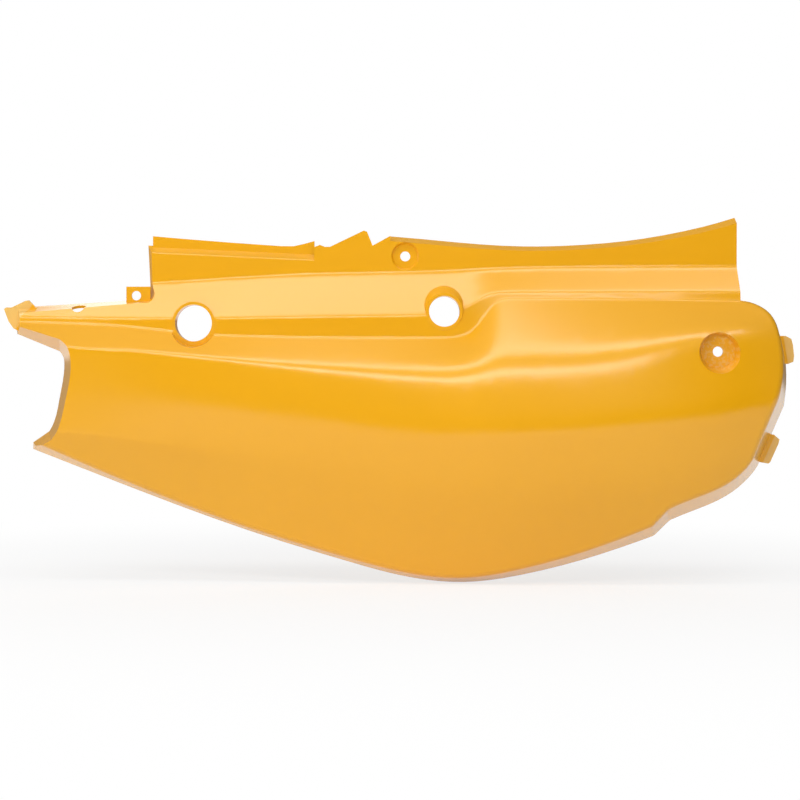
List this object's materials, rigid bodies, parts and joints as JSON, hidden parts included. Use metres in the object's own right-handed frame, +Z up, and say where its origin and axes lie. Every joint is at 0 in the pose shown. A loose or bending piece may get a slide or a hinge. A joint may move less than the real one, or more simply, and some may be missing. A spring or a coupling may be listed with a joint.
{
  "type": "scooter side panel",
  "caption": "Left-hand moulded body side panel of a scooter: upper mounting flange, sloping shoulder, bulging pod, turned-in edges, round collared holes and recessed screw seats.",
  "frame": {"origin": "axis of the upper screw hole, on the face of its seat", "axes": "+X to the rear of the scooter along the panel, +Y inward to the frame, +Z up as fitted; the painted face looks along -Y"},
  "size_m": [0.7218, 0.0992, 0.3332],
  "materials": {
    "painted_plastic": "golden yellow metallic paint under clear lacquer"
  },
  "bodies": {
    "root": {"side_panel": "painted_plastic"}
  },
  "joints": []
}
